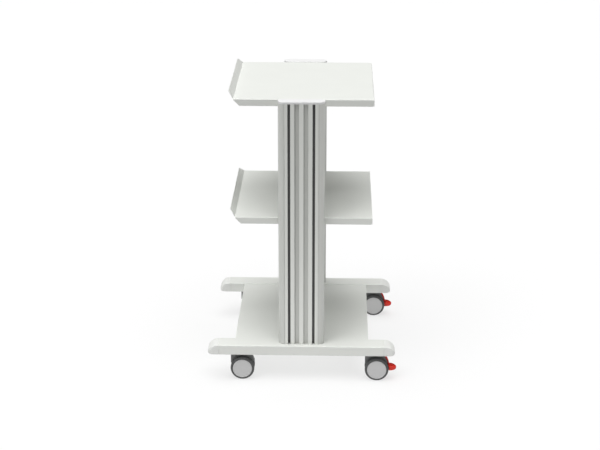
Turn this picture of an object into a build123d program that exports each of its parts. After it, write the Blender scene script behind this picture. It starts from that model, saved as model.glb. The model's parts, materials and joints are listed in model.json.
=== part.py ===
from build123d import *
import os
from math import asin, cos, degrees, radians, sin, sqrt

# Two-column instrument cart: a steel base on four twin-wheel casters, two slotted aluminium columns
# and two folded sheet-metal shelves that clamp into the columns' T-slots.
# Millimetres. The origin is on the floor under the middle of the cart. +X is the front, where the
# casters have brakes, +Y is the left side and +Z is up.

# Base rails: steel tube that lies along X, one on each side
rail_length = 516  # the tube without its end caps
rail_width = 60
rail_height = 32
rail_wall = 2
rail_corner = 3
rail_spacing = 520  # centre to centre
rail_underside = 87  # above the floor

# End caps of the rails
nose_length = 35
nose_flat = 3  # upright face between the nose's upper and lower rounds
nose_bottom_radius = 5
nose_sweep = 32  # how far back from the tip the top starts to curve down
nose_plan_radius = 15
plug_length = 22
plug_wall = 2
plug_fit = 0.2
plug_corner = 1

# Base plate: folded tray between the rails
plate_inset = 48  # from each end of the rail tube
plate_drop = 2  # below the top of the rails
plate_flange = 18
plate_screw_inset = 40  # from the plate's front and rear edges
plate_screw_drop = 10  # below the top of the plate

# Sheet metal
sheet = 1.5
bend_radius = 2.5  # outside of a fold
corner_seam = 0.6

# Columns: extruded core with a snap-on duct cover at the front and the rear
column_length = 775
column_depth = 38
column_inset = 4  # column centre inboard of the rail's centre
core_width = 102
rib_width = 13.5
recess_width = 14
recess_depth = 8
slot_spacing = 75  # centre to centre of the two T-slots of a face
slot_width = 8
slot_lip = 3
slot_undercut_width = 15
slot_undercut_depth = 5.5
slot_pocket_depth = 3.5
column_wall = 2
channel_spacing = 44  # centre to centre of the two screw channels
channel_boss = 6.5
channel_web = 3
edge_round = 0.5

# Duct covers, which snap over two hooked lips on each end of the core
cover_seam = 0.7
cover_wall = 2
hook_inset = 2  # from the cover's inner wall to the core's lip
hook_lip = 1.8
hook_length = 4
hook_nub = 0.8
hook_nub_length = 1.5
hook_fit = 0.2

# Column caps
cap_thickness = 7
cap_overhang = 0.2
cap_edge_radius = 1.6
cap_plug_depth = 14
cap_plug_fit = 0.3
cap_plug_wall = 2

# Shelves
shelf_front = 217
shelf_rear = 205
shelf_gap = 0.5  # between a shelf's side and the column
shelf_flange = 21
shelf_corner_cut = 4
shelf_screw_drop = 11  # below the top of the shelf
lip_length = 24
lip_angle = 50
lip_taper = 29
top_shelf_rise = 5  # top shelf above the end of the extrusions
middle_shelf_height = 526  # above the floor

# Fasteners
m10_radius = 5
m8_radius = 4
m6_radius = 3
m5_radius = 2.5
screw_clearance = 0.3
thread_clearance = 0.05
nut_length = 12
nut_thickness = 4.5
nut_side_gap = 0.8
slot_gap = 0.3
shelf_screw_length = 12
plate_screw_length = 8
column_bolt_length = 32
m5_head = (4.75, 2.75, 3)  # radius, height and width of the socket across its corners
m6_head = (5.25, 3.3, 4)
m8_head = (9, 5, 6)
socket_floor = 0.4  # of the head's height
head_round = 1 / 3  # of the head's height
access_radius = 10
access_plug_lip = 1.2
access_plug_rim = 2
access_plug_depth = 5
insert_radius = 8
insert_collar_radius = 11
insert_collar = 4
insert_height = 22
stem_shank = 20

# Casters: twin wheels that trail behind the stem
stem_inset = 47  # from each end of the rail tube
caster_trail = 26
wheel_radius = 37.5
wheel_width = 17.4
web_width = 14
web_gap = 0.6
rim_radius = 30.2
rim_wall = 2.1
disc_radius = 29.4
disc_thickness = 3
disc_rim = 3.6
disc_recess = 0.6
hub_radius = 8
axle_radius = 4
axle_recess = 4
running_gap = 0.05
tyre_side_gap = 1.2
tyre_face_gap = 1
tyre_shoulder = 4.5
tyre_inner_shoulder = 2.5
stem_flange_radius = 11.5
stem_flange = 2.8
washer_thickness = 1.3
swivel_gap = 0.3
pin_radius = 4.5
hood_front = 11  # from the stem axis
hood_foot = 50  # underside of the swivel bearing, above the floor
hood_foot_rear = 9  # from the stem axis
hood_arc_radius = 60  # the curved edge over the wheels' trailing side
hood_arc_back = 20  # its centre, from the axle towards the stem
hood_arc_up = 5  # its centre, above the axle
hood_arc_end = 14  # degrees, where the curved edge ends
hood_boss = 12
collar_radius = 12.5
collar_height = 6.6
ring_radius = 6.6
ring_thickness = 1.2
pin_end = 1  # below the retaining ring

# Brake of the front casters: a lever on the axle with a pedal, and a shoe that its cam lifts
brake_angle = 14
lever_thickness = 4
lever_gap = 0.35
lever_hub = 11
arm_height = 13  # above the axle, where the arm meets the strip
strip_gap = 0.7
strip_thickness = 3.5
strip_width = 13
strip_low = -6  # degrees about the hood's arc
strip_high = 40
pedal_gap = 2.3  # from the tyres
pedal_reach = 62  # from the axle
pedal_width = 30
pedal_root = 38  # from the axle
pedal_top = 9  # above the axle
pedal_bottom = 8  # below the axle
pedal_corner = 14
pedal_rim = 2.5
pedal_dish = 4
pedal_keel = 12  # radius of the tip's underside
pedal_round = 1.2
cam_radius = 14
cam_start = 80
cam_end = 112
cam_gap = 0.5
cam_steps = 4
arm_root = 20  # degrees, where the arm's upper edge leaves the hub
shoe_travel = 1.5
shoe_gap = 0.8
shoe_guide_gap = 0.3
shoe_width = 8
shoe_foot = 2
shoe_bottom = 21  # above the axle
shoe_rim_gap = 1.7
shoe_reach = 17

# Worked-out places
rail_top = rail_underside + rail_height
nose_top_rise = rail_height - nose_flat - nose_bottom_radius
rail_inner_face = rail_spacing / 2 - rail_width / 2
column_top = rail_top + column_length
column_centre = rail_spacing / 2 - column_inset
half_depth = column_depth / 2
column_face = column_centre - half_depth
core_half = core_width / 2
cover_x = core_half + cover_seam
slot_x = slot_spacing / 2
channel_x = channel_spacing / 2
chamber_y = half_depth - recess_depth - column_wall
chamber_x = slot_x - slot_undercut_width / 2 - column_wall
hook_face = half_depth - cover_wall - hook_inset
plate_top = rail_top - plate_drop
plate_half = rail_length / 2 - plate_inset
top_shelf_height = column_top + top_shelf_rise
shelf_half = column_face - shelf_gap
stem_x = rail_length / 2 - stem_inset
pin_top = rail_underside - stem_flange
washer_bottom = pin_top - washer_thickness
hood_top = washer_bottom - swivel_gap
ring_bottom = hood_foot - swivel_gap - ring_thickness
axle_z = wheel_radius
wheel_inner = web_width / 2 + web_gap
wheel_outer = wheel_inner + wheel_width
rim_inner_radius = rim_radius - rim_wall
strip_inner = hood_arc_radius - strip_thickness
lever_slot = lever_thickness / 2 + lever_gap
cam_tip = cam_radius + shoe_travel * (cam_end - 90) / brake_angle
cam_room = cam_tip + cam_gap
shoe_top_radius = rim_inner_radius - shoe_rim_gap

# Making
past = 1  # how far a cut or a joint runs past the face it meets
tolerance = 0.01

ENDS = (("front", 1), ("rear", -1))
SIDES = (("right", -1), ("left", 1))


def save(shape, name):
    """Writes one sub-part's STEP file."""
    export_step(shape, f"parts/{name}.step")


def group(shapes):
    """Keeps several separate solids together as one node."""
    return Compound(children=[solid for shape in shapes for solid in shape.solids()])


def to_side(shape, side):
    """A shape made on the left, or its mirror image on the right."""
    return shape if side > 0 else mirror(shape, Plane.XZ)


def to_end(shape, end):
    """A shape made at the front, or its mirror image at the rear."""
    return shape if end > 0 else mirror(shape, Plane.YZ)


def rod(radius, low, high, x=0, y=0):
    """A vertical cylinder between two heights."""
    return Pos(x, y, low) * extrude(Circle(radius), high - low)


def cross_rod(radius, low, high, x, z):
    """A cylinder along Y between two places."""
    return Pos(x, low, z) * Rot(-90, 0, 0) * extrude(Circle(radius), high - low)


def block(x_range, y_range, z_range):
    """A box given by its lowest and highest place on each axis."""
    ranges = (x_range, y_range, z_range)
    middle = [(high + low) / 2 for low, high in ranges]
    return Pos(*middle) * Box(*(high - low for low, high in ranges))


def side_plate(outline, y_low, y_high):
    """An outline drawn in X and Z, made solid between two places on Y."""
    return Pos(0, y_high, 0) * extrude(Plane.XZ * outline, y_high - y_low)


def screw(radius, length, head_sizes):
    """A socket screw along Z: its head stands above zero and its shank reaches below."""
    head_radius, head_height, socket_size = head_sizes
    head = Cylinder(head_radius, head_height, align=(Align.CENTER, Align.CENTER, Align.MIN))
    head = fillet(head.edges().group_by(Axis.Z)[-1], head_height * head_round)
    shank = Cylinder(radius, length, align=(Align.CENTER, Align.CENTER, Align.MAX))
    socket = Pos(0, 0, head_height * socket_floor) * extrude(RegularPolygon(socket_size / 2, 6), head_height)
    return head + shank - socket


def folded_sheet(x_low, x_high, half_y, top, flange):
    """A sheet with its four edges folded down, and a seam at each corner of the end flanges."""
    outer = block((x_low, x_high), (-half_y, half_y), (top - flange, top))
    outer = fillet(outer.edges().group_by(Axis.Z)[-1], bend_radius)
    inner = block((x_low + sheet, x_high - sheet), (sheet - half_y, half_y - sheet),
                  (top - flange - past, top - sheet))
    inner = fillet(inner.edges().group_by(Axis.Z)[-1], bend_radius - sheet)
    tray = outer - inner
    seam_z = (top - flange - past, top - bend_radius)
    for end_x in (x_low, x_high):
        for side in (1, -1):
            seam_y = sorted(side * (half_y - sheet - step) for step in (0, corner_seam))
            tray -= block((end_x - 2 * sheet, end_x + 2 * sheet), seam_y, seam_z)
    return tray


# Base


def column_bolt_places():
    return [(side * channel_x, column_centre) for side in (1, -1)]


def plate_screw_xs():
    return [-(plate_half - plate_screw_inset), 0, plate_half - plate_screw_inset]


def make_rail():
    """Left rail: rectangular tube with holes for the stems, the column bolts and the plate screws."""
    tube = RectangleRounded(rail_width, rail_height, rail_corner)
    tube -= RectangleRounded(rail_width - 2 * rail_wall, rail_height - 2 * rail_wall,
                             rail_corner - rail_wall)
    rail = extrude(Plane.YZ * tube, rail_length / 2, both=True)
    rail = Pos(0, rail_spacing / 2, rail_underside + rail_height / 2) * rail
    low_wall = (rail_underside - past, rail_underside + rail_wall + past)
    for end in (1, -1):
        rail -= rod(insert_radius + thread_clearance, *low_wall, end * stem_x, rail_spacing / 2)
    for x, y in column_bolt_places():
        rail -= rod(access_radius, *low_wall, x, y)
        rail -= rod(m8_radius + screw_clearance, rail_top - rail_wall - past, rail_top + past, x, y)
    for x in plate_screw_xs():
        rail -= cross_rod(m5_radius + thread_clearance, rail_inner_face - past,
                          rail_inner_face + rail_wall + past, x, plate_top - plate_screw_drop)
    return rail


def make_rail_cap():
    """Front left end cap: a rounded nose that continues the tube, with a hollow plug inside it."""
    arc_start = nose_bottom_radius + nose_flat
    side_view = make_face([
        Line((0, 0), (nose_length - nose_bottom_radius, 0)),
        RadiusArc((nose_length - nose_bottom_radius, 0), (nose_length, nose_bottom_radius),
                  -nose_bottom_radius),
        Line((nose_length, nose_bottom_radius), (nose_length, arc_start)),
        EllipticalCenterArc((nose_length - nose_sweep, arc_start), nose_sweep, nose_top_rise),
        Line((nose_length - nose_sweep, rail_height), (0, rail_height)),
        Line((0, rail_height), (0, 0)),
    ])
    body = side_plate(side_view, -rail_width / 2, rail_width / 2)
    body &= Pos(0, 0, -past) * extrude(RectangleRounded(2 * nose_length, rail_width, nose_plan_radius),
                                    rail_height + 2 * past)
    end_view = Plane.YZ * RectangleRounded(rail_width, rail_height, rail_corner)
    body &= Pos(-past, 0, rail_height / 2) * extrude(end_view, nose_length + 2 * past)
    width = rail_width - 2 * rail_wall - 2 * plug_fit
    height = rail_height - 2 * rail_wall - 2 * plug_fit
    plug = RectangleRounded(width, height, plug_corner)
    plug -= RectangleRounded(width - 2 * plug_wall, height - 2 * plug_wall, plug_corner / 2)
    plug = extrude(Plane.YZ * plug, plug_length + past)
    body += Pos(-plug_length, 0, rail_height / 2) * plug
    return Pos(rail_length / 2, rail_spacing / 2, rail_underside) * body


def make_base_plate():
    """Folded tray that ties the two rails together."""
    plate = folded_sheet(-plate_half, plate_half, rail_inner_face, plate_top, plate_flange)
    for x in plate_screw_xs():
        plate -= cross_rod(m5_radius + screw_clearance, -rail_inner_face - past, rail_inner_face + past, x,
                           plate_top - plate_screw_drop)
    return plate


def make_base_plate_screws():
    """Three screws on each side, from inside the tray into the rails' inner walls."""
    one = screw(m5_radius, plate_screw_length, m5_head)
    left = [Pos(x, rail_inner_face - sheet, plate_top - plate_screw_drop) * Rot(90, 0, 0) * one
            for x in plate_screw_xs()]
    return group([to_side(piece, side) for piece in left for side in (1, -1)])


def make_column_bolts():
    """Two bolts on each side, from inside the rail up into the column's screw channels."""
    one = Rot(180, 0, 0) * screw(m8_radius, column_bolt_length, m8_head)
    left = [Pos(x, y, rail_top - rail_wall) * one for x, y in column_bolt_places()]
    return group([to_side(piece, side) for piece in left for side in (1, -1)])


def make_access_plugs():
    """Plugs that close the access holes under the rails."""
    one = rod(access_radius - thread_clearance, rail_underside, rail_underside + access_plug_depth)
    one += rod(access_radius + access_plug_rim, rail_underside - access_plug_lip, rail_underside)
    one -= rod(access_radius - access_plug_rim, rail_underside, rail_underside + access_plug_depth)
    left = [Pos(x, y, 0) * one for x, y in column_bolt_places()]
    return group([to_side(piece, side) for piece in left for side in (1, -1)])


def caster_places():
    return [(end * stem_x, side * rail_spacing / 2) for end in (1, -1) for side in (1, -1)]


def make_stem_inserts():
    """Threaded inserts in the rails' lower walls, one for each caster."""
    collar_base = rail_underside + rail_wall
    one = rod(insert_radius, rail_underside, rail_underside + insert_height)
    one += rod(insert_collar_radius, collar_base, collar_base + insert_collar)
    one -= rod(m10_radius + thread_clearance, rail_underside, rail_underside + insert_height)
    return group([Pos(x, y, 0) * one for x, y in caster_places()])


# Columns


def face_cut(x, width, top, bottom):
    """One groove on both faces and on both halves of the column's section."""
    cuts = [Pos(side * x, face * (half_depth - (top + bottom) / 2)) * Rectangle(width, bottom - top)
            for side in (1, -1) for face in (1, -1)]
    return Sketch() + cuts


def make_column():
    """Left column: extruded core with two T-slots and two shallow recesses on each broad face."""
    section = Rectangle(core_width, column_depth)
    section -= face_cut((rib_width + recess_width) / 2, recess_width, 0, recess_depth)
    section -= face_cut(slot_x, slot_width, 0, slot_lip + slot_undercut_depth + slot_pocket_depth)
    section -= face_cut(slot_x, slot_undercut_width, slot_lip, slot_lip + slot_undercut_depth)
    on_face = [v for v in section.vertices() if abs(abs(v.Y) - half_depth) < edge_round / 2]
    section = fillet(on_face, edge_round)
    section -= Rectangle(2 * chamber_x, 2 * chamber_y)
    side_wall = core_half - column_wall
    slot_depth = slot_lip + slot_undercut_depth + slot_pocket_depth
    for end in (1, -1):
        section -= Pos(end * (chamber_x + column_wall + side_wall) / 2, 0) * Rectangle(
            side_wall - chamber_x - column_wall, 2 * (half_depth - slot_depth - column_wall))
        boss = Circle(channel_boss) + Rectangle(channel_web, 2 * chamber_y)
        section += Pos(end * channel_x, 0) * boss
        section -= Pos(end * channel_x, 0) * Circle(m8_radius + thread_clearance)
        for face in (1, -1):
            section += Pos(end * (core_half + hook_length / 2), face * (hook_face - hook_lip / 2)
                           ) * Rectangle(hook_length, hook_lip)
            section += Pos(end * (core_half + hook_length - hook_nub_length / 2),
                           face * (hook_face + hook_nub / 2)) * Rectangle(hook_nub_length, hook_nub)
    return Pos(0, column_centre, rail_top) * extrude(section, column_length)


def make_duct_cover():
    """Front cover of the left column: a half-round shell whose nubs snap behind the core's hooks."""
    keep = Pos(half_depth, 0) * Rectangle(column_depth, column_depth)
    shell = Circle(half_depth) - Circle(half_depth - cover_wall)
    nub_length = hook_length - hook_nub_length - hook_fit - cover_seam
    nub_height = hook_inset + cover_wall / 2 - hook_fit
    for face in (1, -1):
        shell += Pos(nub_length / 2, face * (hook_face + hook_fit + nub_height / 2)
                     ) * Rectangle(nub_length, nub_height)
    shell &= keep
    rim = [v for v in shell.vertices() if v.X < tolerance and abs(v.Y) > half_depth - tolerance]
    shell = fillet(rim, edge_round)
    return Pos(cover_x, column_centre, rail_top) * extrude(shell, column_length)


def make_column_cap():
    """Left column's top cap, with a hollow plug in the middle chamber."""
    length = 2 * (cover_x + half_depth + cap_overhang)
    lid = extrude(SlotOverall(length, column_depth + 2 * cap_overhang), cap_thickness)
    lid = fillet(lid.edges().group_by(Axis.Z)[-1], cap_edge_radius)
    plug_x = 2 * (channel_x - channel_boss - cap_plug_fit)
    plug_y = 2 * (chamber_y - cap_plug_fit)
    plug = Rectangle(plug_x, plug_y) - Rectangle(plug_x - 2 * cap_plug_wall, plug_y - 2 * cap_plug_wall)
    lid += Pos(0, 0, -cap_plug_depth) * extrude(plug, cap_plug_depth + past)
    return Pos(0, column_centre, column_top) * lid


# Shelves


def make_shelf(top):
    """Shelf with three edges folded down and a tapered lip folded up along the rear."""
    shelf = folded_sheet(-shelf_rear - shelf_flange, shelf_front, shelf_half, top, shelf_flange)
    below = top - shelf_flange
    shelf -= block((-shelf_rear - shelf_flange - past, -shelf_rear), (-shelf_half - past, shelf_half + past),
                   (below - past, top + past))
    cut_top, cut_foot = top - bend_radius + past, below - past
    rear_cut = make_face(Polyline((-shelf_rear - past, cut_top), (-shelf_rear - past, cut_foot),
                                  (-shelf_rear + shelf_flange - bend_radius + past, cut_foot), close=True))
    shelf -= side_plate(rear_cut, -shelf_half - past, shelf_half + past)
    corner = make_face(Polyline((shelf_front + past, below + shelf_corner_cut + past),
                                (shelf_front + past, below - past),
                                (shelf_front - shelf_corner_cut - past, below - past), close=True))
    for side in (1, -1):
        shelf -= to_side(side_plate(corner, shelf_half - sheet, shelf_half + past), side)
        for x in (slot_x, -slot_x):
            shelf -= to_side(cross_rod(m6_radius + screw_clearance, shelf_half - 2 * sheet,
                                       shelf_half + past, x, top - shelf_screw_drop), side)
    return shelf + make_rear_lip(top)


def make_rear_lip(top):
    """The rear lip: a sheet that leans out and up from the shelf's rear fold and narrows."""
    middle = top - sheet / 2
    edge_x = -shelf_rear - lip_length * cos(radians(lip_angle))
    path = FilletPolyline((-shelf_rear + shelf_flange, middle), (-shelf_rear, middle),
                          (edge_x, middle + lip_length * sin(radians(lip_angle))),
                          radius=bend_radius - sheet / 2)
    lip = side_plate(trace(path, sheet), -shelf_half, shelf_half)
    wide = shelf_half - bend_radius
    narrow = wide - lip_taper
    tip = edge_x - sheet
    plan = make_face(Polyline((-shelf_rear + shelf_flange - past, wide), (-shelf_rear, wide),
                              (tip, narrow), (tip, -narrow), (-shelf_rear, -wide),
                              (-shelf_rear + shelf_flange - past, -wide), close=True))
    return lip & (Pos(0, 0, top - 2 * sheet) * extrude(plan, lip_length + 2 * sheet))


def make_shelf_screws(top):
    """Four screws, from inside the shelf's flanges through the columns' T-slots."""
    one = screw(m6_radius, shelf_screw_length, m6_head)
    left = [Pos(x, shelf_half - sheet, top - shelf_screw_drop) * Rot(90, 0, 0) * one
            for x in (slot_x, -slot_x)]
    return group([to_side(piece, side) for piece in left for side in (1, -1)])


def make_t_nuts(top):
    """The four nuts in the T-slots that the shelf screws pull against the slots' lips."""
    z_range = (top - shelf_screw_drop - nut_length / 2, top - shelf_screw_drop + nut_length / 2)
    nut_face = column_face + slot_lip + slot_gap
    half_body = slot_undercut_width / 2 - nut_side_gap
    half_neck = slot_width / 2 - slot_gap
    one = block((-half_body, half_body), (nut_face, nut_face + nut_thickness), z_range)
    one += block((-half_neck, half_neck), (column_face + slot_gap, nut_face), z_range)
    one -= cross_rod(m6_radius + thread_clearance, column_face, nut_face + nut_thickness + past, 0,
                     top - shelf_screw_drop)
    left = [Pos(x, 0, 0) * one for x in (slot_x, -slot_x)]
    return group([to_side(piece, side) for piece in left for side in (1, -1)])


# Casters: drawn with the stem's axis at X 0, Y 0


def make_stem():
    """Threaded stem with a flange, and the pin that the housing swivels on."""
    stem = rod(m10_radius, rail_underside, rail_underside + stem_shank)
    stem += rod(stem_flange_radius, pin_top, rail_underside)
    return stem + rod(pin_radius, ring_bottom - pin_end, pin_top)


def make_swivel_rings():
    """The thrust washers over the housings and the retaining rings under them."""
    washer = rod(stem_flange_radius, washer_bottom, pin_top)
    washer -= rod(pin_radius, washer_bottom, pin_top)
    ring = rod(ring_radius, ring_bottom, ring_bottom + ring_thickness)
    ring -= rod(pin_radius, ring_bottom, ring_bottom + ring_thickness)
    return [group([Pos(x, y, 0) * one for x, y in caster_places()]) for one in (washer, ring)]


def on_hood_arc(radius, angle):
    """A point on a circle about the centre of the hood's curved edge, at an angle up from the front."""
    return (caster_trail - hood_arc_back + radius * cos(radians(angle)),
            axle_z + hood_arc_up + radius * sin(radians(angle)))


def make_housing(braked):
    """The hood between the wheels, with the swivel bearing and, on a braked caster, the brake's room."""
    radius = strip_inner - strip_gap if braked else hood_arc_radius
    top_angle = degrees(asin((hood_top - axle_z - hood_arc_up) / radius))
    start, end = on_hood_arc(radius, top_angle), on_hood_arc(radius, hood_arc_end)
    outline = make_face([
        Line((-hood_front, hood_foot), (-hood_front, hood_top)),
        Line((-hood_front, hood_top), start),
        RadiusArc(start, end, radius),
        Line(end, (caster_trail, axle_z)),
        Line((caster_trail, axle_z), (hood_foot_rear, hood_foot)),
        Line((hood_foot_rear, hood_foot), (-hood_front, hood_foot)),
    ])
    half = web_width / 2
    web = side_plate(outline, -half, half) + cross_rod(hood_boss, -half, half, caster_trail, axle_z)
    web += rod(collar_radius, hood_top - collar_height, hood_top)
    web -= rod(pin_radius + running_gap, hood_foot - past, hood_top + past)
    web -= cross_rod(axle_radius, -half - past, half + past, caster_trail, axle_z)
    return web - make_brake_room() if braked else web


def make_brake_room():
    """The space in a braked housing for the lever's hub and cam and for the shoe's travel."""
    half = web_width / 2
    room = cross_rod(cam_room, -lever_slot, lever_slot, caster_trail, axle_z)
    guide = shoe_width / 2 + shoe_guide_gap
    ceiling = axle_z + shoe_top_radius + shoe_travel + shoe_guide_gap
    room += block((caster_trail - guide, caster_trail + guide), (-half - past, half + past),
                  (axle_z + shoe_bottom - shoe_guide_gap, ceiling))
    foot = shoe_foot / 2 + shoe_guide_gap
    room += block((caster_trail - foot, caster_trail + foot), (-lever_slot, lever_slot),
                  (axle_z + cam_room - past, axle_z + shoe_bottom))
    return room


def make_axle():
    reach = wheel_outer - axle_recess
    return cross_rod(axle_radius, -reach, reach, caster_trail, axle_z)


def turned(outline):
    """A wheel part: its section, drawn with radius as X and distance from the caster's middle as Y."""
    spun = revolve(outline, Axis.Y)
    return Pos(caster_trail, 0, axle_z) * spun


def make_wheel():
    """Left wheel: closed face, rim that is hollow inside for the brake, and a blind hub."""
    face = wheel_outer - disc_thickness
    section = Pos(rim_inner_radius + rim_wall / 2, (wheel_inner + tyre_side_gap + face) / 2) * Rectangle(
        rim_wall, face - wheel_inner - tyre_side_gap)
    section += Pos(rim_radius / 2, face + (disc_thickness - tyre_face_gap) / 2) * Rectangle(
        rim_radius, disc_thickness - tyre_face_gap)
    section += Pos(disc_radius / 2, wheel_outer - disc_thickness / 2) * Rectangle(
        disc_radius, disc_thickness)
    section += Pos(hub_radius / 2, (wheel_inner + face) / 2) * Rectangle(hub_radius, face - wheel_inner)
    dish = disc_radius - disc_rim
    section -= Pos(dish / 2, wheel_outer) * Rectangle(dish, 2 * disc_recess)
    bore = axle_radius + running_gap
    depth = wheel_outer - axle_recess + running_gap - wheel_inner
    section -= Pos(bore / 2, wheel_inner + depth / 2) * Rectangle(bore, depth)
    rim_edge = section.vertices().sort_by(Axis.Y)[-1]
    section = fillet(rim_edge, disc_recess)
    return turned(section)


def make_tyre():
    """Left tyre, with a broad outer shoulder and a smaller inner one."""
    low = wheel_inner + tyre_side_gap
    high = wheel_outer - tyre_face_gap
    section = Pos((rim_radius + wheel_radius) / 2, (low + high) / 2) * Rectangle(
        wheel_radius - rim_radius, high - low)
    tread = section.vertices().group_by(Axis.X)[-1].sort_by(Axis.Y)
    section = fillet(tread[-1], tyre_shoulder)
    inner = section.vertices().sort_by(lambda v: v.X - v.Y)[-1]
    section = fillet(inner, tyre_inner_shoulder)
    return turned(section)


def polar(radius, angle):
    """A point about the axle, at an angle up from the front."""
    return (caster_trail + radius * cos(radians(angle)), axle_z + radius * sin(radians(angle)))


def make_pedal():
    """The tread of the brake lever: a tongue with a rounded tip and a dished top."""
    low = axle_z - pedal_bottom
    high = axle_z + pedal_top
    plan = Rectangle(2 * pedal_reach, pedal_width)
    plan = fillet(plan.vertices(), pedal_corner)
    tongue = Pos(caster_trail, 0, low) * extrude(plan, high - low)
    tongue = fillet(tongue.edges().group_by(Axis.Z)[-1], pedal_round)
    inside = offset(plan, -pedal_rim)
    tongue -= Pos(caster_trail, 0, high - pedal_dish) * extrude(inside, pedal_dish + past)
    reach = wheel_radius + pedal_gap
    wall = reach + pedal_rim
    ridge = cross_rod(wall, -pedal_width / 2, pedal_width / 2, caster_trail, axle_z)
    ridge &= block((caster_trail, caster_trail + wall), (-pedal_width / 2, pedal_width / 2), (low, high))
    tongue += ridge
    tip = caster_trail + pedal_reach
    side_view = make_face([
        Line((caster_trail, low), (tip - pedal_keel, low)),
        RadiusArc((tip - pedal_keel, low), (tip, low + pedal_keel), -pedal_keel),
        Line((tip, low + pedal_keel), (tip, high)),
        Line((tip, high), (caster_trail, high)),
        Line((caster_trail, high), (caster_trail, low)),
    ])
    tongue &= side_plate(side_view, -pedal_width / 2, pedal_width / 2)
    tongue -= block((caster_trail - pedal_reach - past, caster_trail), (-pedal_width, pedal_width),
                    (axle_z - wheel_radius, axle_z + wheel_radius))
    tongue -= cross_rod(reach, -pedal_width, pedal_width, caster_trail, axle_z)
    root = block((caster_trail + pedal_root, caster_trail + wall), (-strip_width / 2, strip_width / 2),
                 (low, high))
    return tongue + root


def make_brake_lever():
    """Brake pedal: hub on the axle, cam over it, arm, pedal and a strip up the back of the hood."""
    half = lever_thickness / 2
    angles = [cam_start + (cam_end - cam_start) * step / cam_steps for step in range(cam_steps + 1)]
    spiral = [polar(cam_radius + shoe_travel * (angle - 90) / brake_angle, angle) for angle in angles]
    cam = make_face([Spline(*spiral), Line(spiral[-1], (caster_trail, axle_z)),
                     Line((caster_trail, axle_z), spiral[0])])
    lever = side_plate(cam, -half, half) + cross_rod(lever_hub, -half, half, caster_trail, axle_z)
    strip_middle = hood_arc_radius - strip_thickness / 2
    arm_x = caster_trail - hood_arc_back + sqrt(strip_middle ** 2 - (arm_height - hood_arc_up) ** 2)
    arm = make_face(Polyline((caster_trail, axle_z - pedal_bottom), (arm_x, axle_z - pedal_bottom),
                             (arm_x, axle_z + arm_height), polar(lever_hub - past, arm_root), close=True))
    lever += side_plate(arm, -half, half)
    outer, inner = hood_arc_radius, strip_inner
    strip = make_face([
        Line(on_hood_arc(inner, strip_low), on_hood_arc(outer, strip_low)),
        RadiusArc(on_hood_arc(outer, strip_low), on_hood_arc(outer, strip_high), -outer),
        Line(on_hood_arc(outer, strip_high), on_hood_arc(inner, strip_high)),
        RadiusArc(on_hood_arc(inner, strip_high), on_hood_arc(inner, strip_low), inner),
    ])
    lever += side_plate(strip, -strip_width / 2, strip_width / 2)
    lever += make_pedal()
    return lever - cross_rod(axle_radius + running_gap, -half - past, half + past, caster_trail, axle_z)


def make_brake_shoe():
    """A bar through the housing into both wheels, with a foot that the lever's cam lifts."""
    bar = block((caster_trail - shoe_width / 2, caster_trail + shoe_width / 2), (-shoe_reach, shoe_reach),
                (axle_z + shoe_bottom, axle_z + shoe_top_radius + past))
    bar &= cross_rod(shoe_top_radius, -shoe_reach, shoe_reach, caster_trail, axle_z)
    foot = block((caster_trail - shoe_foot / 2, caster_trail + shoe_foot / 2),
                 (-lever_thickness / 2, lever_thickness / 2),
                 (axle_z + cam_radius + shoe_gap, axle_z + shoe_bottom + past))
    return bar + foot


def build_base():
    rail, cap = make_rail(), make_rail_cap()
    for side_name, side in SIDES:
        save(to_side(rail, side), f"{side_name}_base_rail")
        for end_name, end in ENDS:
            save(to_end(to_side(cap, side), end), f"{end_name}_{side_name}_rail_cap")
    save(make_base_plate(), "base_plate")
    save(make_base_plate_screws(), "base_plate_screws")
    save(make_column_bolts(), "column_bolts")
    save(make_access_plugs(), "access_plugs")
    save(make_stem_inserts(), "stem_inserts")


def build_columns():
    column, cover, cap = make_column(), make_duct_cover(), make_column_cap()
    for side_name, side in SIDES:
        save(to_side(column, side), f"{side_name}_column")
        save(to_side(cap, side), f"{side_name}_column_cap")
        for end_name, end in ENDS:
            save(to_end(to_side(cover, side), end), f"{end_name}_{side_name}_duct_cover")


def build_shelves():
    for name, height in (("top_shelf", top_shelf_height), ("middle_shelf", middle_shelf_height)):
        save(make_shelf(height), name)
        save(make_shelf_screws(height), f"{name}_screws")
        save(make_t_nuts(height), f"{name}_t_nuts")


def build_casters():
    washers, rings = make_swivel_rings()
    save(washers, "swivel_washers")
    save(rings, "swivel_rings")
    stem, axle, wheel, tyre = make_stem(), make_axle(), make_wheel(), make_tyre()
    lever, shoe = make_brake_lever(), make_brake_shoe()
    for end_name, end in ENDS:
        housing = make_housing(braked=end > 0)
        for side_name, side in SIDES:
            place = Pos(end * stem_x, side * rail_spacing / 2, 0)
            name = f"{end_name}_{side_name}"
            save(place * stem, f"{name}_caster_stem")
            save(place * housing, f"{name}_caster_housing")
            save(place * axle, f"{name}_axle")
            for where, turn in (("outer", side), ("inner", -side)):
                save(place * to_side(wheel, turn), f"{name}_{where}_wheel")
                save(place * to_side(tyre, turn), f"{name}_{where}_tyre")
            if end > 0:
                save(place * lever, f"{name}_brake_pedal")
                save(place * shoe, f"{name}_brake_shoe")


os.makedirs("parts", exist_ok=True)
build_base()
build_columns()
build_shelves()
build_casters()
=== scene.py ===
import json
from math import asin, atan2, cos, pi, radians, sin, sqrt, tan

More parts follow.
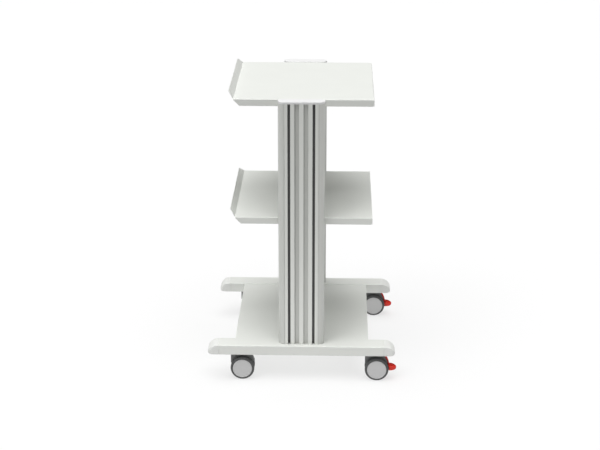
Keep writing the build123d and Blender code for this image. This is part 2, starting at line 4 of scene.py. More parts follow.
import bmesh
import bpy
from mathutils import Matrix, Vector


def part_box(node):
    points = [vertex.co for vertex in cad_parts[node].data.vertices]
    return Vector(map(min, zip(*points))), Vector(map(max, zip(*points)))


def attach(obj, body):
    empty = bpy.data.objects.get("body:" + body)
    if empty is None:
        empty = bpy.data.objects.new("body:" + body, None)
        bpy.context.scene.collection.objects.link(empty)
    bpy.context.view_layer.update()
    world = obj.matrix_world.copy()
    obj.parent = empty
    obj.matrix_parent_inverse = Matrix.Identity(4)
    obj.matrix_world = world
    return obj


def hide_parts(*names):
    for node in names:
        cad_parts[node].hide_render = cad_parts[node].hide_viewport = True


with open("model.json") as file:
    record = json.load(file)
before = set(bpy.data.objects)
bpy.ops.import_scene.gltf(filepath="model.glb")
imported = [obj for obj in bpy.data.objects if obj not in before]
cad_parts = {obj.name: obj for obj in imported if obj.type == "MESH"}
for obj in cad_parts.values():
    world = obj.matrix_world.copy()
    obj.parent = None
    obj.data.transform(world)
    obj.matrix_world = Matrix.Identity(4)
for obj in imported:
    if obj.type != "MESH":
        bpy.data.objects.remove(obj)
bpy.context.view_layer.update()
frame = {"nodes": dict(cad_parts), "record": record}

# Instrument cart: powder-coated steel base and shelves on two slotted aluminium columns, with twin-wheel
# casters. Metres, in the frame of the CAD model: +X is the front, where the casters have brakes, +Y is the
# left side, +Z is up, and the floor is at zero.

MM = 0.001
ENDS = (("front", 1), ("rear", -1))
SIDES = (("right", -1), ("left", 1))

# Camera
camera_place = (0.1123, -4.5461, 2.0476)
camera_aim = (-0.0114, 0, 0.4172)
camera_lens = 89.6

# Studio
floor_half = 30
floor_white = 0.24
floor_glow = 0.685
floor_front = -0.95  # where the white sweep gives way to the pale grey floor
floor_blend = 0.9  # how long it takes to do so
floor_grey = 0.45  # of the white
overhead_light = 3.75
overhead_spread = 69  # degrees across, seen from the cart
overhead_tilt = (0.05, 0.12, -1)
window_light = 0.34
window_spread = 30
window_tilt = (0.55, 0.45, -0.7)
room_light = 0.07


def make_camera():
    lens = bpy.data.cameras.new("camera")
    lens.lens = camera_lens
    camera = bpy.data.objects.new("camera", lens)
    camera.location = camera_place
    camera.rotation_euler = (Vector(camera_aim) - Vector(camera_place)).to_track_quat("-Z", "Y").to_euler()
    bpy.context.scene.collection.objects.link(camera)
    bpy.context.scene.camera = camera


class Signal:
    """A number that changes over a surface. Arithmetic on it adds the Math nodes."""

    def __init__(self, finish, socket):
        self.finish = finish
        self.socket = socket

    def math(self, operation, first, second):
        return self.finish.node("ShaderNodeMath", {"operation": operation}, {0: first, 1: second})

    def __add__(self, other):
        return self.math("ADD", self, other)

    def __sub__(self, other):
        return self.math("SUBTRACT", self, other)

    def __rsub__(self, other):
        return self.math("SUBTRACT", other, self)

    def __mul__(self, other):
        return self.math("MULTIPLY", self, other)

    def size(self):
        """The number without its sign."""
        return self.math("ABSOLUTE", self, 0)

    __radd__ = __add__
    __rmul__ = __mul__


class Finish:
    """One material, built from nodes."""

    def __init__(self, name):
        self.material = bpy.data.materials.new(name)
        self.material.use_nodes = True
        self.tree = self.material.node_tree
        self.shader = self.tree.nodes["Principled BSDF"]

    def node(self, kind, settings=None, sockets=None, output=0):
        """Adds a node with its settings first and then the values or links of its sockets."""
        made = self.tree.nodes.new(kind)
        for name, value in (settings or {}).items():
            setattr(made, name, value)
        for name, value in (sockets or {}).items():
            self.join(made.inputs[name], value)
        return Signal(self, made.outputs[output])

    def join(self, socket, value):
        if isinstance(value, Signal):
            self.tree.links.new(value.socket, socket)
        else:
            socket.default_value = value

    def place(self, stretch=(1, 1, 1)):
        """Where the surface is in its own piece, in metres, stretched along each axis."""
        own = self.node("ShaderNodeTexCoord", output="Object")
        return self.node("ShaderNodeVectorMath", {"operation": "MULTIPLY"}, {0: own, 1: stretch})

    def along(self, axis):
        """Where the surface is along one axis of its own piece, in metres."""
        own = self.node("ShaderNodeTexCoord", output="Object")
        return self.node("ShaderNodeSeparateXYZ", sockets={0: own}, output=axis)

    def noise(self, scale, detail=3, stretch=(1, 1, 1), roughness=0.55):
        """Soft random cloud between 0 and 1, with scale in cells to a metre."""
        return self.node("ShaderNodeTexNoise", sockets={
            "Vector": self.place(stretch), "Scale": scale, "Detail": detail, "Roughness": roughness})

    def grains(self, scale):
        """Rounded grains: 0 at the middle of each and higher towards its edge."""
        return self.node("ShaderNodeTexVoronoi", sockets={"Vector": self.place(), "Scale": scale})

    def blend(self, factor, low, high):
        """A colour between two colours, each a Signal or three numbers."""
        low, high = (colour if isinstance(colour, Signal) else (*colour, 1) for colour in (low, high))
        return self.node("ShaderNodeMix", {"data_type": "RGBA"}, {0: factor, 6: low, 7: high}, output=2)

    def within(self, signal, low, high):
        """0 below low, 1 above high, and even between them."""
        return self.node("ShaderNodeMapRange", {"clamp": True},
                         {"Value": signal, "From Min": low, "From Max": high})

    def relief(self, height, depth):
        """A normal from a height signal, whose full range is that deep in metres."""
        return self.node("ShaderNodeBump", sockets={"Height": height, "Distance": depth})

    def surface(self, **sockets):
        """Sets the shader's own sockets, by name with underscores for spaces."""
        for name, value in sockets.items():
            self.join(self.shader.inputs[name.replace("_", " ")], value)
        return self.material


def grey(level, tint=(1, 1, 1)):
    """A grey of one lightness, with a tint that multiplies it."""
    return tuple(level * part for part in tint)


def powder_coat():
    """Light grey baked powder coat with its fine orange peel."""
    coat = Finish("powder_coat")
    peel = coat.noise(700, 2) + coat.noise(260, 1) * 0.8
    return coat.surface(
        Base_Color=coat.blend(coat.noise(9, 2), powder_dark, powder_light),
        Roughness=0.36 + coat.noise(180, 2) * 0.12,
        Normal=coat.relief(peel, 0.05 * MM))


def rail_coat():
    """The same coat on the rails, where the tube's drawing lines run along it under the paint."""
    coat = Finish("rail_powder_coat")
    lines = coat.noise(60, 2, stretch=(0.15, 1, 1))
    peel = coat.noise(700, 2) + lines * 0.7
    return coat.surface(
        Base_Color=coat.blend(coat.noise(11, 2), powder_dark, powder_light),
        Roughness=0.34 + coat.noise(200, 2) * 0.12,
        Normal=coat.relief(peel, 0.05 * MM))


def anodised():
    """Satin anodised extrusion with die lines; painted shade darkens its middle recesses, most beside one
    wall, and paints its T-slots dark.
    """
    metal = Finish("anodised_extrusion")
    fine = metal.noise(1500, 2, stretch=(1, 1, 0.004))
    broad = metal.noise(220, 2, stretch=(1, 1, 0.01))
    x = metal.along("X")
    depth = column_half - (metal.along("Y").size() - column_centre).size()
    beside_slot = (x.size() - slot_x).size()
    outside_slot = metal.within(beside_slot, slot_reach, slot_reach + fade)
    in_slot = metal.within(depth, 0.4 * MM, 3 * MM) * (1 - outside_slot)
    outside_recess = metal.within(x.size(), recess_reach, recess_reach + fade)
    in_recess = metal.within(depth, 0.3 * MM, 2.5 * MM) * (1 - outside_recess)
    from_wall = metal.node("ShaderNodeMath", {"operation": "MODULO"},
                           {0: x + 2 * recess_pitch + recess_edge, 1: recess_pitch})
    # Painted shade: the recess floors are darkened, and more so in a painted shadow along the band beside
    # each recess's wall
    shade = in_recess * (recess_painted_shade + recess_wall_painted_shadow * (1 - metal.within(from_wall, 0, painted_shadow_width)))
    unshaded_metal = metal.blend(broad * 0.5 + fine * 0.5, anodised_dark, anodised_light)
    shaded_metal = metal.blend(shade, unshaded_metal, (0, 0, 0))
    # Painted shade: the insides of the T-slots get a dark grey in place of the metal
    return metal.surface(
        Base_Color=metal.blend(in_slot, shaded_metal, slot_painted_shade),
        Metallic=0.25 * (1 - in_slot), Roughness=0.34 + fine * 0.14,
        Normal=metal.relief(fine, 0.02 * MM))


def duct_plastic():
    """Extruded grey plastic: satin, with faint lines along the duct."""
    plastic = Finish("duct_plastic")
    lines = plastic.noise(400, 2, stretch=(1, 1, 0.01))
    return plastic.surface(
        Base_Color=plastic.blend(plastic.noise(14, 2), duct_dark, duct_light),
        Roughness=0.4 + lines * 0.12,
        Normal=plastic.relief(lines, 0.03 * MM))


def cap_plastic(name, low, high):
    """Moulded caps with a fine eroded texture."""
    plastic = Finish(name)
    sand = plastic.noise(1300, 3)
    return plastic.surface(
        Base_Color=plastic.blend(plastic.noise(20, 2), low, high),
        Roughness=0.42 + sand * 0.14,
        Normal=plastic.relief(sand, 0.06 * MM))


def zinc():
    """Bright zinc plate, cloudy and slightly blue, with turning marks."""
    plate = Finish("zinc_plate")
    cloud = plate.noise(160, 3)
    return plate.surface(
        Base_Color=plate.blend(cloud, zinc_dark, zinc_light),
        Metallic=1.0, Roughness=0.26 + cloud * 0.16,
        Normal=plate.relief(plate.noise(900, 2), 0.02 * MM))


def wheel_plastic():
    """Light grey nylon of the wheel discs, with a fine spark-eroded face and faint flow marks."""
    nylon = Finish("wheel_plastic")
    sand = nylon.noise(1500, 2)
    return nylon.surface(
        Base_Color=nylon.blend(nylon.noise(30, 2), wheel_dark, wheel_light),
        Roughness=0.42 + sand * 0.12,
        Normal=nylon.relief(sand, 0.05 * MM))


def tyre_rubber():
    """Dark grey soft tread: matt, with dust rubbed into it where it rolls."""
    rubber = Finish("tyre_rubber")
    speck = rubber.noise(1100, 3)
    scuff = rubber.within(rubber.noise(130, 4), 0.5, 0.75)
    return rubber.surface(
        Base_Color=rubber.blend(scuff * 0.6, tyre_dark, tyre_light),
        Roughness=0.5 + speck * 0.2,
        Normal=rubber.relief(speck, 0.06 * MM))


def hood_plastic():
    """Mid-grey moulded hood with a leather-fine texture."""
    plastic = Finish("hood_plastic")
    cells = plastic.grains(1100)
    return plastic.surface(
        Base_Color=plastic.blend(plastic.noise(40, 2), hood_dark, hood_light),
        Roughness=0.4 + cells * 0.15,
        Normal=plastic.relief(cells, 0.05 * MM))


def red_plastic():
    """Red pedal: through-coloured nylon, a little polished where shoes press it."""
    nylon = Finish("pedal_red")
    sand = nylon.noise(1200, 2)
    rubbed = nylon.within(nylon.noise(110, 2), 0.45, 0.7)
    return nylon.surface(
        Base_Color=nylon.blend(nylon.noise(70, 2), pedal_dark, pedal_light),
        Roughness=0.44 + sand * 0.1 - rubbed * 0.12, Specular_IOR_Level=0.35,
        Normal=nylon.relief(sand, 0.05 * MM))


def dark_plastic(name, low, high):
    """Plain moulded plastic of the plugs and the brake shoes."""
    plastic = Finish(name)
    sand = plastic.noise(1300, 2)
    return plastic.surface(
        Base_Color=plastic.blend(plastic.noise(60, 2), low, high),
        Roughness=0.45 + sand * 0.15,
        Normal=plastic.relief(sand, 0.05 * MM))


# Where the columns' slots and recesses are, for the painted shade inside them
column_centre = 256 * MM
column_half = 19 * MM
slot_x = 37.5 * MM
slot_reach = 7.7 * MM
recess_pitch = 27.5 * MM
recess_edge = 20.75 * MM  # from the column's middle to the recesses' outer walls
recess_reach = 21 * MM
# Painted shade over the recess floors, and a darker painted shadow of each recess's wall beside it
recess_painted_shade = 0.2
recess_wall_painted_shadow = 0.22
painted_shadow_width = 4.5 * MM
fade = 0.3 * MM

# Colours of the finishes, as the two ends of each one's range
paint_tint = (0.982, 1, 0.955)
metal_tint = (0.985, 1, 0.955)
rubber_tint = (0.97, 1, 1)
powder_dark = grey(0.755, paint_tint)
powder_light = grey(0.785, paint_tint)
nose_tint = (0.988, 1, 0.968)
nose_dark = grey(0.755, nose_tint)
nose_light = grey(0.78, nose_tint)
cap_dark = grey(0.755)
cap_light = grey(0.78)
anodised_dark = grey(0.77, metal_tint)
anodised_light = grey(0.86, metal_tint)
# Painted shade: a dark grey that stands for the shadow deep inside the T-slots
slot_painted_shade = grey(0.17)
duct_dark = grey(0.64, metal_tint)
duct_light = grey(0.67, metal_tint)
wheel_dark = grey(0.55)
wheel_light = grey(0.59)
tyre_dark = grey(0.08, rubber_tint)
tyre_light = grey(0.11, rubber_tint)
hood_dark = grey(0.16, rubber_tint)
hood_light = grey(0.20, rubber_tint)
plug_dark = grey(0.09)
plug_light = grey(0.12)
shoe_dark = grey(0.03)
shoe_light = grey(0.05)
zinc_dark = (0.42, 0.44, 0.47)
zinc_light = (0.62, 0.63, 0.64)
pedal_dark = (0.66, 0.024, 0.012)
pedal_light = (0.76, 0.034, 0.016)


def make_finishes():
    return {
        "powder_coated_steel": powder_coat(),
        "rail": rail_coat(),
        "anodised_aluminium": anodised(),
        "duct_cover_plastic": duct_plastic(),
        "cap_plastic": cap_plastic("column_cap_plastic", cap_dark, cap_light),
        "nose": cap_plastic("nose_plastic", nose_dark, nose_light),
        "zinc_plated_steel": zinc(),
        "dark_grey_plastic": dark_plastic("plug_plastic", plug_dark, plug_light),
        "hood_plastic": hood_plastic(),
        "wheel_plastic": wheel_plastic(),
        "tyre_rubber": tyre_rubber(),
        "red_plastic": red_plastic(),
        "shoe_plastic": dark_plastic("shoe_plastic", shoe_dark, shoe_light),
    }


def dress(piece, material):
    piece.data.materials.clear()
    piece.data.materials.append(material)


def dress_frame(finishes):
    """Gives every CAD node the finish of its material slot, and the rails their own."""
    for part in frame["record"]["subparts"]:
        name = part["node"]
        finish = "rail" if name.endswith("base_rail") else part["material_slot"]
        dress(frame["nodes"][name], finishes[finish])


# Floor and light


def make_studio():
    """White floor, faint room light, a very broad softbox overhead and a window at the rear right."""
    mesh = bpy.data.meshes.new("floor")
    shape = bmesh.new()
    bmesh.ops.create_grid(shape, x_segments=1, y_segments=1, size=floor_half)
    shape.to_mesh(mesh)
    shape.free()
    floor = bpy.data.objects.new("floor", mesh)
    bpy.context.scene.collection.objects.link(floor)
    paper = Finish("white_floor")
    sweep = paper.within(paper.along("Y"), floor_front - floor_blend, floor_front)
    tone = floor_grey + sweep * (1 - floor_grey)
    dress(floor, paper.surface(
        Base_Color=paper.blend(tone, (0, 0, 0), grey(floor_white)), Roughness=0.9, Specular_IOR_Level=0.1,
        Emission_Color=paper.blend(tone, (0, 0, 0), (1, 1, 1)), Emission_Strength=floor_glow))

    world = bpy.data.worlds.new("room")
    world.use_nodes = True
    world.node_tree.nodes["Background"].inputs["Color"].default_value = (1, 1, 1, 1)
    world.node_tree.nodes["Background"].inputs["Strength"].default_value = room_light
    bpy.context.scene.world = world
    bpy.context.scene.view_settings.view_transform = "Standard"

    make_light("overhead", overhead_light, overhead_spread, overhead_tilt)
    make_light("window", window_light, window_spread, window_tilt)


def make_light(name, strength, spread, direction):
    """Light that falls in one direction, softened over a spread in degrees."""
    light = bpy.data.lights.new(name, "SUN")
    light.energy = strength
    light.angle = radians(spread)
    softbox = bpy.data.objects.new(name, light)
    softbox.rotation_euler = Vector(direction).to_track_quat("-Z", "Y").to_euler()
    bpy.context.scene.collection.objects.link(softbox)


# Shapes


full_turn = (0, 360 * 47 / 48, 47)  # start and end in degrees, and steps, with no point twice


def arc(centre, radius, start, end, steps):
    """Points on an arc between two angles in degrees."""
    angles = [radians(start + (end - start) * step / steps) for step in range(steps + 1)]
    return [(centre[0] + radius * cos(angle), centre[1] + radius * sin(angle)) for angle in angles]


def rounded(corners, steps=4):
    """A closed outline in which each corner, given as x, y and radius, is rounded by an arc."""
    outline = []
    for before, here, after in zip(corners[-1:] + corners[:-1], corners, corners[1:] + corners[:1]):
        corner, radius = Vector(here[:2]), here[2]
        if radius == 0:
            outline.append(tuple(corner))
            continue
        back = (Vector(before[:2]) - corner).normalized()
        ahead = (Vector(after[:2]) - corner).normalized()
        half = back.angle(ahead) / 2
        centre = corner + (back + ahead).normalized() * (radius / sin(half))
        reach = radius / tan(half)
        start, end = corner + back * reach - centre, corner + ahead * reach - centre
        first = atan2(start.y, start.x)
        turn = (atan2(end.y, end.x) - first + pi) % (2 * pi) - pi
        outline += [tuple(centre + Vector((cos(angle), sin(angle))) * radius)
                    for angle in (first + turn * step / steps for step in range(steps + 1))]
    return outline


def piece_from(name, shape, smooth=40):
    """Turns a bmesh into an object whose edges are sharp above an angle in degrees."""
    bmesh.ops.recalc_face_normals(shape, faces=shape.faces)
    mesh = bpy.data.meshes.new(name)
    shape.to_mesh(mesh)
    shape.free()
    piece = bpy.data.objects.new(name, mesh)
    bpy.context.scene.collection.objects.link(piece)
    smooth_faces(piece, smooth)
    return piece


def smooth_faces(piece, angle):
    piece.data.shade_smooth()
    piece.data.set_sharp_from_angle(angle=radians(angle))


def loft(name, rings, smooth=40):
    """A closed skin through rings of points, with a face over the first ring and the last."""
    shape = bmesh.new()
    rows = [[shape.verts.new(point) for point in ring] for ring in rings]
    for low, high in zip(rows, rows[1:]):
        for here, following in zip(range(len(low)), [*range(1, len(low)), 0]):
            shape.faces.new((low[here], low[following], high[following], high[here]))
    shape.faces.new(rows[0])
    shape.faces.new(rows[-1])
    return piece_from(name, shape, smooth)


def lathe(name, outline, side=1, turns=72, smooth=40):
    """A section, as radius and distance along Y, turned about Y. Points on the axis become one vertex."""
    shape = bmesh.new()
    rows = []
    for radius, along in outline:
        if radius == 0:
            rows.append([shape.verts.new((0, side * along, 0))] * turns)
        else:
            rows.append([shape.verts.new((x, side * along, z))
                         for x, z in arc((0, 0), radius, 0, 360 * (turns - 1) / turns, turns - 1)])
    following = rows[1:] + rows[:1] if outline[0][0] > 0 else rows[1:]
    for low, high in zip(rows, following):
        for here, there in zip(range(turns), [*range(1, turns), 0]):
            corners = dict.fromkeys((low[here], low[there], high[there], high[here]))
            shape.faces.new(tuple(corners))
    return piece_from(name, shape, smooth)


def plate(name, outline, half, edge=0, smooth=40):
    """An outline in X and Z made solid to both sides of Y, with rounded edges."""
    shape = bmesh.new()
    near = shape.faces.new([shape.verts.new((x, -half, z)) for x, z in outline])
    far_side = bmesh.ops.extrude_face_region(shape, geom=[near], use_keep_orig=True)["geom"]
    far_points = [part for part in far_side if isinstance(part, bmesh.types.BMVert)]
    bmesh.ops.translate(shape, verts=far_points, vec=(0, 2 * half, 0))
    if edge:
        around = [line for line in shape.edges if abs(line.verts[0].co.y - line.verts[1].co.y) < half]
        bmesh.ops.bevel(shape, geom=around, offset=edge, segments=3, profile=0.5, affect="EDGES")
    return piece_from(name, shape, smooth)


def combine(piece, operation, tools, smooth=40):
    """Joins the tools to a piece or cuts them out of it, and removes them."""
    for tool in tools:
        work = piece.modifiers.new("combine", "BOOLEAN")
        work.operation = operation
        work.solver = "EXACT"
        work.object = tool
        bpy.context.view_layer.update()
        made = bpy.data.meshes.new_from_object(piece.evaluated_get(bpy.context.evaluated_depsgraph_get()))
        piece.modifiers.clear()
        made.name = piece.name
        piece.data = made
        bpy.data.objects.remove(tool)
    smooth_faces(piece, smooth)
    return piece


def fit(piece, place, body, material, node):
    """Puts a finished piece in its place on a body, for the CAD node that it replaces."""
    piece.location = place
    dress(piece, material)
    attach(piece, body)
    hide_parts(node)


def middle_of(node):
    low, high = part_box(node)
    return (low + high) / 2


# End caps of the rails, drawn with the tube's end at X 0, its middle at Y 0 and its underside at Z 0

cap_length = 35 * MM
cap_half = 30 * MM
cap_height = 32 * MM
cap_top_radius = 24 * MM
cap_bottom_radius = 5 * MM
cap_edge = 3 * MM
cap_corner_low = 13 * MM
cap_corner_top = 3.5 * MM
cap_sweep = 32 * MM  # how far back the top starts to curve down
seam_width = 0.9 * MM
seam_depth = 1.3 * MM
cap_plug_half = 27.8 * MM
cap_plug_low = 3.2 * MM  # above the cap's underside, and the same below its top
cap_plug_wall = 2.2 * MM
cap_plug_length = 22 * MM
cap_plug_root = 2 * MM  # how far the plug reaches into the nose


def cap_levels():
    """Heights of the cap's outlines: close together where its edges are round."""
    steps = 6
    low = [cap_bottom_radius * (1 - cos(pi / 2 * step / steps)) for step in range(steps)]
    crown = cap_height - cap_edge
    face = cap_height - cap_top_radius
    spread = asin((crown - face) / cap_top_radius)
    middle = [face + cap_top_radius * sin(spread * step / 12) for step in range(12)]
    top = [crown + cap_edge * sin(pi / 2 * step / steps) for step in range(steps + 1)]
    return [*low, *middle, *top]


def cap_outline(height):
    """One level of the cap, seen from above: along one side, round the nose and back."""
    face = cap_height - cap_top_radius
    share = max(height - face, 0) / cap_top_radius
    reach = cap_length - cap_sweep + cap_sweep * sqrt(1 - share ** 2)
    if height < cap_bottom_radius:
        reach += sqrt(cap_bottom_radius ** 2 - (cap_bottom_radius - height) ** 2) - cap_bottom_radius
    into_edge = max(height - cap_height + cap_edge, cap_edge - height, 0)
    half = cap_half - cap_edge + sqrt(cap_edge ** 2 - into_edge ** 2)
    start = 1.6 * seam_width
    corner = min(cap_corner_low + (cap_corner_top - cap_corner_low) * share ** 2, reach - 2 * start)
    straight = reach - corner - start
    side = [(x, seam_depth * into_seam(x) - half) for x in (0, 0.6 * seam_width, seam_width)]
    side += [(start + straight * step / 3, -half) for step in range(3)]
    nose = arc((reach - corner, corner - half), corner, -90, 0, 8)
    right = [*side, *nose]
    left = [(x, -y) for x, y in reversed(right)]
    return [*right, *left]


def into_seam(x):
    """How far the joint's groove is cut in at a place along the cap, as a share of its depth."""
    return max(min(1 - x / seam_width / 3, 2 - 2 * x / seam_width), 0)


def make_rail_cap(name):
    """A nose that continues the tube, with a fine groove at the joint, and a hollow plug behind it."""
    rings = []
    for height in cap_levels():
        middle = cap_height / 2
        rings.append([(x, y, height + (middle - height) / middle * seam_depth * into_seam(x))
                      for x, y in cap_outline(height)])
    cap = loft(name, rings, smooth=50)
    low, high = cap_plug_low, cap_height - cap_plug_low
    plug = block("plug", (-cap_plug_length, cap_plug_root), cap_plug_half, (low, high))
    hollow = block("hollow", (-cap_plug_length - MM, -MM), cap_plug_half - cap_plug_wall,
                   (low + cap_plug_wall, high - cap_plug_wall))
    combine(plug, "DIFFERENCE", [hollow])
    return combine(cap, "UNION", [plug], smooth=50)


def block(name, x_range, half_y, z_range):
    (x_low, x_high), (z_low, z_high) = x_range, z_range
    return plate(name, [(x_low, z_low), (x_high, z_low), (x_high, z_high), (x_low, z_high)], half_y)


def place_rail_caps(finishes):
    for end_name, end in ENDS:
        for side_name, _ in SIDES:
            node = f"{end_name}_{side_name}_rail_cap"
            rail_low, rail_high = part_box(f"{side_name}_base_rail")
            cap = make_rail_cap(f"{end_name}_{side_name}_rail_nose")
            if end < 0:
                mirror_across_x(cap)
            x = rail_high.x if end > 0 else rail_low.x
            place = (x, (rail_low.y + rail_high.y) / 2, rail_low.z)
            fit(cap, place, "cart_frame", finishes["nose"], node)


def mirror_across_x(piece):
    shape = bmesh.new()
    shape.from_mesh(piece.data)
    for point in shape.verts:
        point.co.x = -point.co.x
    bmesh.ops.reverse_faces(shape, faces=shape.faces)
    shape.to_mesh(piece.data)
    shape.free()


# Wheels, drawn with the axle along Y and the middle of the caster at Y 0

tyre_inner = 8.8 * MM
tyre_outer = 24 * MM
wheel_inner = 7.6 * MM
wheel_outer = 25 * MM
wheel_radius = 37.5 * MM
rim_radius = 30.2 * MM
rim_inner = 28.1 * MM
rim_gap = 0.4 * MM  # between the rim's outer edge and the tyre's
disc_radius = 29.4 * MM
disc_bead = 2.6 * MM
disc_recess = 0.6 * MM
disc_crown = 0.35 * MM
disc_back = 22 * MM
hub_radius = 8 * MM
tread_crown = 0.35 * MM
bore_radius = 4.05 * MM
bore_end = 21.1 * MM  # just past the axle


def wheel_section():
    """Disc with a raised bead round it, rim, and a hub with a blind bore."""
    flat = wheel_outer - disc_recess
    bead = disc_radius - disc_bead
    crown = [(bead * step / 6, flat + disc_crown * (1 - (step / 6) ** 2)) for step in range(1, 6)]
    edge = rounded([
        (bead - MM, flat, 0), (bead, flat, 0.3 * MM), (bead + disc_recess, wheel_outer, 0.4 * MM),
        (disc_radius, wheel_outer, 0.8 * MM), (disc_radius, tyre_outer - rim_gap, 0),
        (rim_radius, tyre_outer - rim_gap, 0), (rim_radius, tyre_inner, 0.3 * MM),
        (rim_inner, tyre_inner, 0.3 * MM), (rim_inner, disc_back, MM), (hub_radius, disc_back, MM),
        (hub_radius, wheel_inner, 0.4 * MM), (bore_radius, wheel_inner, 0.4 * MM),
        (bore_radius, bore_end, 0)], steps=3)
    return [(0, flat + disc_crown), *crown, *edge, (0, bore_end)]


def tyre_section():
    """Crowned tread with a broad outer shoulder, a small inner one, and a groove where it meets the disc."""
    middle = (tyre_inner + tyre_outer) / 2
    return rounded([
        (rim_radius, tyre_inner, 0), (wheel_radius - tread_crown, tyre_inner, 2.5 * MM),
        (wheel_radius, middle - 2 * MM, 12 * MM),
        (wheel_radius - tread_crown / 2, tyre_outer - 4.4 * MM, 3 * MM),
        (34 * MM, tyre_outer - 1.1 * MM, 2.2 * MM), (30.9 * MM, tyre_outer, 0.5 * MM),
        (30.7 * MM, tyre_outer - 0.9 * MM, 0.2 * MM), (rim_radius, tyre_outer - 0.9 * MM, 0)], steps=4)


def place_wheels(finishes):
    for end_name, _ in ENDS:
        for side_name, side in SIDES:
            corner = f"{end_name}_{side_name}"
            axle = middle_of(f"{corner}_axle")
            for where, turn in (("outer", side), ("inner", -side)):
                body = f"{corner}_{where}_roller"
                wheel = lathe(f"{body}_disc", wheel_section(), turn, smooth=35)
                fit(wheel, axle, body, finishes["wheel_plastic"], f"{corner}_{where}_wheel")
                tyre = lathe(f"{body}_tread", tyre_section(), turn, smooth=35)
                fit(tyre, axle, body, finishes["tyre_rubber"], f"{corner}_{where}_tyre")


# Hoods and brake pedals, drawn with the axle along Y at X 0, Z 0

trail = 26 * MM
hood_half = 7 * MM
hood_edge = 1.4 * MM
hood_front = -37 * MM
hood_top = 45.1 * MM
hood_foot = 12.5 * MM
hood_foot_rear = -17 * MM
hood_boss = 12 * MM
collar_radius = 12.5 * MM
collar_foot = 38.5 * MM
collar_edge = MM
hood_arc_centre = (-20 * MM, 5 * MM)
hood_arc_radius = 60 * MM
hood_arc_end = 14
strip_thickness = 3.5 * MM
strip_gap = 0.7 * MM
strip_half = 6.5 * MM
strip_low = -6
strip_high = 40
lever_half = 2 * MM
lever_slot = 2.35 * MM
cam_room = 16.9 * MM
window_half = 4.3 * MM  # where the brake shoe passes through the hood
window_low = 20.7 * MM
window_high = 29 * MM
foot_half = 1.3 * MM  # where the shoe's foot comes down to the cam
foot_low = 15 * MM
foot_high = 22 * MM
pin_radius = 4.55 * MM
axle_radius = 4 * MM


def hood_outline(radius):
    """The hood from the side: upright front, flat top, curved rear edge and a boss round the axle."""
    top_angle = asin((hood_top - hood_arc_centre[1]) / radius) * 180 / pi
    curve = arc(hood_arc_centre, radius, top_angle, hood_arc_end, 12)
    rear_angle = atan2(curve[-1][1], curve[-1][0]) * 180 / pi
    foot_angle = atan2(hood_foot, hood_foot_rear) * 180 / pi
    boss = arc((0, 0), hood_boss, rear_angle, foot_angle - 360, 20)
    return [(hood_front, hood_foot), (hood_front, hood_top), *curve, *boss, (hood_foot_rear, hood_foot)]


def upright(name, radius, x, low, high):
    """A vertical cylinder."""
    ring = arc((x, 0), radius, *full_turn)
    return loft(name, [[(along, across, z) for along, across in ring] for z in (low, high)])


def crosswise(name, radius, half):
    """A cylinder along the axle."""
    return lathe(name, [(0, -half), (radius, -half), (radius, half), (0, half)], turns=64)


def make_hood(name, braked):
    """The hood with its bearing collar, and with room for the lever and the shoe where there is a brake."""
    radius = hood_arc_radius - (strip_thickness + strip_gap if braked else 0)
    hood = plate(name, hood_outline(radius), hood_half, hood_edge)
    levels = [(collar_foot, 0), (hood_top - collar_edge, 0),
              (hood_top - 0.3 * collar_edge, 0.3 * collar_edge), (hood_top, collar_edge)]
    collar = loft("collar", [[(x, y, z) for x, y in arc((-trail, 0), collar_radius - inset, *full_turn)]
                             for z, inset in levels])
    combine(hood, "UNION", [collar])
    cuts = [upright("pin", pin_radius, -trail, hood_foot - MM, hood_top + MM),
            crosswise("axle", axle_radius, 2 * hood_half)]
    if braked:
        cuts += [crosswise("room", cam_room, lever_slot),
                 block("window", (-window_half, window_half), 2 * hood_half, (window_low, window_high)),
                 block("foot", (-foot_half, foot_half), lever_slot, (foot_low, foot_high))]
    return combine(hood, "DIFFERENCE", cuts)


pedal_reach = 62 * MM
pedal_half = 15 * MM
pedal_top = 9 * MM
pedal_bottom = -8 * MM
pedal_tip = 19 * MM  # length of its rounded end
pedal_rim = 2.3 * MM
pedal_dish = 5 * MM
pedal_fall = 5 * MM  # how far the top drops towards the tip
pedal_back = 39.8 * MM
keel_height = 11 * MM
keel_inset = 8 * MM
pedal_round = 1.6 * MM
pad_back = 38 * MM
pad_front = 42.3 * MM
lever_hub = 11 * MM
arm_height = 13 * MM
arm_root = 20  # degrees, where the arm's upper edge leaves the hub
arm_root_radius = 10 * MM
cam_radius = 14 * MM
cam_rise = 1.5 * MM  # over the pedal's travel
cam_start = 80  # degrees
cam_end = 112
pedal_travel = 14  # degrees


def tongue_ring(height, inset, back):
    """The pedal's outline from above, drawn in by the inset, with its rear edge at a given place."""
    half, reach = pedal_half - inset, pedal_reach - inset
    tip = min(pedal_tip, reach - back - MM)
    curve = [(reach - tip + tip * x, half * y) for x, y in arc((0, 0), 1, -90, 90, 20)]
    lift = (height - pedal_bottom) / (pedal_top - pedal_bottom)
    return [(x, y, height - lift * pedal_fall * max((x - pedal_back) / (pedal_reach - pedal_back), 0) ** 2)
            for x, y in [(back, -half), *curve, (back, half)]]


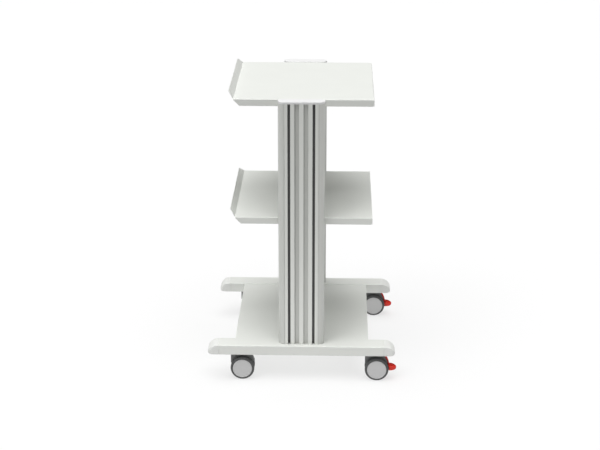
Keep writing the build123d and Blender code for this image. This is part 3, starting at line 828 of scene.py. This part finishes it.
def make_tongue():
    """The tread: a tongue that thins out to a round tip below, with a raised rim and a dished top."""
    behind = pedal_back - 6 * MM
    quarter = [pi / 2 * step / 7 for step in range(8)]
    rings = [tongue_ring(pedal_bottom + keel_height * (1 - sin(angle)), keel_inset * (1 - cos(angle)),
                         behind) for angle in reversed(quarter)]
    rings += [tongue_ring(pedal_top - pedal_round * (1 - sin(angle)), pedal_round * (1 - cos(angle)),
                          behind) for angle in quarter]
    front_wall = pedal_back + pedal_rim
    for share, inset in ((0, 0), (0.35, 0.5 * MM), (0.8, 0.9 * MM), (0.97, 2 * MM), (1, 3.4 * MM)):
        rings.append(tongue_ring(pedal_top - share * pedal_dish, pedal_rim + inset, front_wall + inset))
    tongue = loft("tongue", rings)
    return combine(tongue, "DIFFERENCE", [crosswise("tyre_room", pedal_back, 2 * pedal_half)])


def make_strip():
    """The strip that runs up the back of the hood, narrower and rounded off at its upper end."""
    rings = []
    for step in range(15):
        share = step / 14
        angle = radians(strip_low + (strip_high - strip_low) * share)
        half = strip_half * (1 - 0.35 * share ** 3)
        thick = strip_thickness * (1 - 0.45 * share ** 8)
        section = rounded([(0, -half, 0.3 * MM), (thick, -half, MM), (thick, half, MM),
                           (0, half, 0.3 * MM)], steps=3)
        inner = hood_arc_radius - strip_thickness
        rings.append([(hood_arc_centre[0] + (inner + out) * cos(angle), y,
                       hood_arc_centre[1] + (inner + out) * sin(angle)) for out, y in section])
    return loft("strip", rings)


def make_pedal(name):
    """The whole brake lever: hub, cam, arm, tread and strip."""
    middle = hood_arc_radius - strip_thickness / 2
    arm_x = hood_arc_centre[0] + sqrt(middle ** 2 - (arm_height - hood_arc_centre[1]) ** 2)
    root = radians(arm_root)
    arm = plate("arm", [(0, pedal_bottom), (arm_x, pedal_bottom), (arm_x, arm_height),
                        (arm_root_radius * cos(root), arm_root_radius * sin(root))], lever_half)
    cam_points = [(0, 0)]
    for step in range(9):
        angle = radians(cam_start + (cam_end - cam_start) * step / 8)
        rise = cam_radius + cam_rise * (angle - pi / 2) / radians(pedal_travel)
        cam_points.append((rise * cos(angle), rise * sin(angle)))
    cam = plate("cam", cam_points, lever_half)
    pad = block("pad", (pad_back, pad_front), strip_half, (pedal_bottom, pedal_top))
    pedal = make_tongue()
    pedal.name = name
    combine(pedal, "UNION", [pad, make_strip(), arm, cam, crosswise("hub", lever_hub, lever_half)])
    return combine(pedal, "DIFFERENCE", [crosswise("axle", bore_radius, 2 * lever_half)])


def place_casters(finishes):
    for end_name, end in ENDS:
        for side_name, _ in SIDES:
            corner = f"{end_name}_{side_name}"
            axle = middle_of(f"{corner}_axle")
            hood = make_hood(f"{corner}_hood", braked=end > 0)
            fit(hood, axle, f"{corner}_swivel", finishes["hood_plastic"],
                f"{corner}_caster_housing")
            if end > 0:
                fit(make_pedal(f"{corner}_pedal"), axle, f"{corner}_brake",
                    finishes["red_plastic"], f"{corner}_brake_pedal")


make_camera()
make_studio()
finishes = make_finishes()
dress_frame(finishes)
place_rail_caps(finishes)
place_wheels(finishes)
place_casters(finishes)
